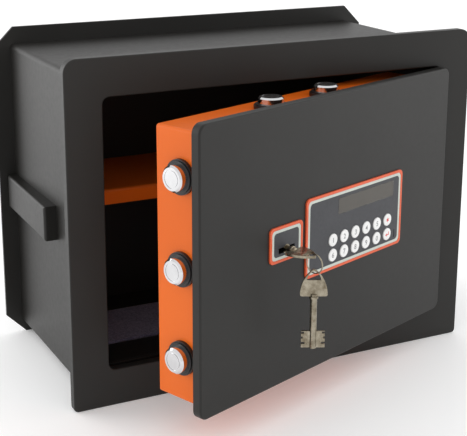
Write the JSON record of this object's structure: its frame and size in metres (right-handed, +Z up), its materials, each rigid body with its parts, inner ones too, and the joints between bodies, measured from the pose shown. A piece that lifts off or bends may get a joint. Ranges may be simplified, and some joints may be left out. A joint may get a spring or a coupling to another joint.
{
  "type": "wall safe",
  "caption": "Steel safe for building into a wall, with a hinged door, sliding locking bolts, an electronic keypad, an override key, and a shelf inside.",
  "frame": {"origin": "centre of the back plate's rear face", "axes": "+X to the right as the front is seen, +Y into the wall, +Z up"},
  "size_m": [0.3962, 0.317, 0.3],
  "materials": {
    "graphite_coat": "fine textured graphite powder coat, satin",
    "orange_coat": "smooth orange powder coat, semi-gloss",
    "chrome_steel": "polished chrome plate",
    "zinc_steel": "bright zinc plate, satin",
    "nickel_key": "nickel plate over brass, slightly worn",
    "black_plastic": "fine matte moulded surface",
    "orange_trim": "satin orange border",
    "pale_trim": "pale grey satin border",
    "panel_film": "dark grey polyester film, matte",
    "smoked_window": "smoked polycarbonate",
    "button_white": "white satin moulding",
    "carpet": "blue-grey needle-felt carpet",
    "circuit_board": "green solder mask",
    "brass_gear": "machined brass",
    "cell_jacket": "printed cell sleeve, plain"
  },
  "bodies": {
    "cabinet": {"front_frame": "graphite_coat", "body_shell": "graphite_coat", "back_plate": "graphite_coat", "left_anchor_lug": "graphite_coat", "right_anchor_lug": "graphite_coat", "shelf": "orange_coat", "shelf_ledges": "zinc_steel", "floor_tray": "graphite_coat", "floor_mat": "carpet", "keeper_bars": "graphite_coat", "hinge_brackets": "graphite_coat", "hinge_pins": "zinc_steel"},
    "door": {"hinge_arms": "zinc_steel", "hinge_stile": "zinc_steel", "door_leaf": "graphite_coat", "door_pan": "orange_coat", "rear_cover": "orange_coat", "cover_screws": "zinc_steel", "bolt_collars": "black_plastic", "bolt_guides": "zinc_steel", "lock_case": "zinc_steel", "lock_cover": "zinc_steel", "lock_levers": "brass_gear", "gear_motor": "zinc_steel", "keypad_frame": "orange_trim", "keypad_trim": "pale_trim", "keypad_panel": "panel_film", "display_window": "smoked_window", "display_module": "black_plastic", "keypad_board": "circuit_board", "escutcheon_frame": "orange_trim", "escutcheon_trim": "pale_trim", "escutcheon_plate": "panel_film", "control_board": "circuit_board", "battery_box": "black_plastic", "battery_cells": "cell_jacket", "battery_lid": "black_plastic"},
    "left_boltwork": {"left_bolts": "chrome_steel", "left_bolt_bar": "zinc_steel"},
    "top_boltwork": {"top_bolts": "chrome_steel", "top_bolt_bar": "zinc_steel"},
    "lock_rotor": {"lock_barrel": "nickel_key", "drive_pinion": "brass_gear"},
    "motor_rotor": {"motor_pinion": "brass_gear"},
    "main_key": {"lock_key": "nickel_key"},
    "ring": {"key_ring": "nickel_key"},
    "hanging_key": {"spare_key": "nickel_key"},
    "key_cap_1": {"button_1": "button_white"},
    "key_cap_2": {"button_2": "button_white"},
    "key_cap_3": {"button_3": "button_white"},
    "key_cap_4": {"button_4": "button_white"},
    "key_cap_5": {"button_5": "button_white"},
    "key_cap_star": {"button_star": "button_white"},
    "key_cap_6": {"button_6": "button_white"},
    "key_cap_7": {"button_7": "button_white"},
    "key_cap_8": {"button_8": "button_white"},
    "key_cap_9": {"button_9": "button_white"},
    "key_cap_0": {"button_0": "button_white"},
    "key_cap_enter": {"button_enter": "button_white"}
  },
  "joints": [
    {"name": "door_hinge", "type": "hinge", "parent": "cabinet", "child": "door", "pos_m": [0.17475, -0.1813, 0], "axis": [0, 0, 1], "range_deg": [-20.6, 54.4]},
    {"name": "left_bolt_slide", "type": "slide", "parent": "door", "child": "left_boltwork", "axis": [-0.9361, -0.3518, 0], "range_m": [0, 0.012]},
    {"name": "top_bolt_slide", "type": "slide", "parent": "door", "child": "top_boltwork", "axis": [0, 0, 1], "range_m": [0, 0.012]},
    {"name": "key_turn", "type": "hinge", "parent": "door", "child": "lock_rotor", "pos_m": [-0.04467, -0.28108, -0.0002], "axis": [0.3518, -0.9361, 0], "range_deg": [0, 180.01]},
    {"name": "motor_turn", "type": "hinge", "parent": "door", "child": "motor_rotor", "pos_m": [-0.02084, -0.22512, -0.0002], "axis": [0.3518, -0.9361, 0], "range_deg": [0, 180.01]},
    {"name": "key_pull", "type": "slide", "parent": "lock_rotor", "child": "main_key", "axis": [0.3518, -0.9361, 0], "range_m": [0, 0.04]},
    {"name": "ring_swing", "type": "hinge", "parent": "main_key", "child": "ring", "pos_m": [-0.03412, -0.30916, -0.0002], "axis": [0.9361, 0.3518, 0], "range_deg": [-10, 3]},
    {"name": "spare_swing", "type": "hinge", "parent": "ring", "child": "hanging_key", "pos_m": [-0.03426, -0.30879, -0.0138], "axis": [0.3518, -0.9361, 0], "range_deg": [-20, 20]},
    {"name": "press_1", "type": "slide", "parent": "door", "child": "key_cap_1", "axis": [-0.3518, 0.9361, 0], "range_m": [0, 0.0007], "stiffness_N_per_m": 400},
    {"name": "press_2", "type": "slide", "parent": "door", "child": "key_cap_2", "axis": [-0.3518, 0.9361, 0], "range_m": [0, 0.0007], "stiffness_N_per_m": 400},
    {"name": "press_3", "type": "slide", "parent": "door", "child": "key_cap_3", "axis": [-0.3518, 0.9361, 0], "range_m": [0, 0.0007], "stiffness_N_per_m": 400},
    {"name": "press_4", "type": "slide", "parent": "door", "child": "key_cap_4", "axis": [-0.3518, 0.9361, 0], "range_m": [0, 0.0007], "stiffness_N_per_m": 400},
    {"name": "press_5", "type": "slide", "parent": "door", "child": "key_cap_5", "axis": [-0.3518, 0.9361, 0], "range_m": [0, 0.0007], "stiffness_N_per_m": 400},
    {"name": "press_star", "type": "slide", "parent": "door", "child": "key_cap_star", "axis": [-0.3518, 0.9361, 0], "range_m": [0, 0.0007], "stiffness_N_per_m": 400},
    {"name": "press_6", "type": "slide", "parent": "door", "child": "key_cap_6", "axis": [-0.3518, 0.9361, 0], "range_m": [0, 0.0007], "stiffness_N_per_m": 400},
    {"name": "press_7", "type": "slide", "parent": "door", "child": "key_cap_7", "axis": [-0.3518, 0.9361, 0], "range_m": [0, 0.0007], "stiffness_N_per_m": 400},
    {"name": "press_8", "type": "slide", "parent": "door", "child": "key_cap_8", "axis": [-0.3518, 0.9361, 0], "range_m": [0, 0.0007], "stiffness_N_per_m": 400},
    {"name": "press_9", "type": "slide", "parent": "door", "child": "key_cap_9", "axis": [-0.3518, 0.9361, 0], "range_m": [0, 0.0007], "stiffness_N_per_m": 400},
    {"name": "press_0", "type": "slide", "parent": "door", "child": "key_cap_0", "axis": [-0.3518, 0.9361, 0], "range_m": [0, 0.0007], "stiffness_N_per_m": 400},
    {"name": "press_enter", "type": "slide", "parent": "door", "child": "key_cap_enter", "axis": [-0.3518, 0.9361, 0], "range_m": [0, 0.0007], "stiffness_N_per_m": 400}
  ],
  "couplings": [
    {"joint": "top_bolt_slide", "follows": "left_bolt_slide", "ratio": 1},
    {"joint": "key_turn", "follows": "left_bolt_slide", "rad_per_m": 261.8},
    {"joint": "motor_turn", "follows": "left_bolt_slide", "rad_per_m": 261.8}
  ]
}
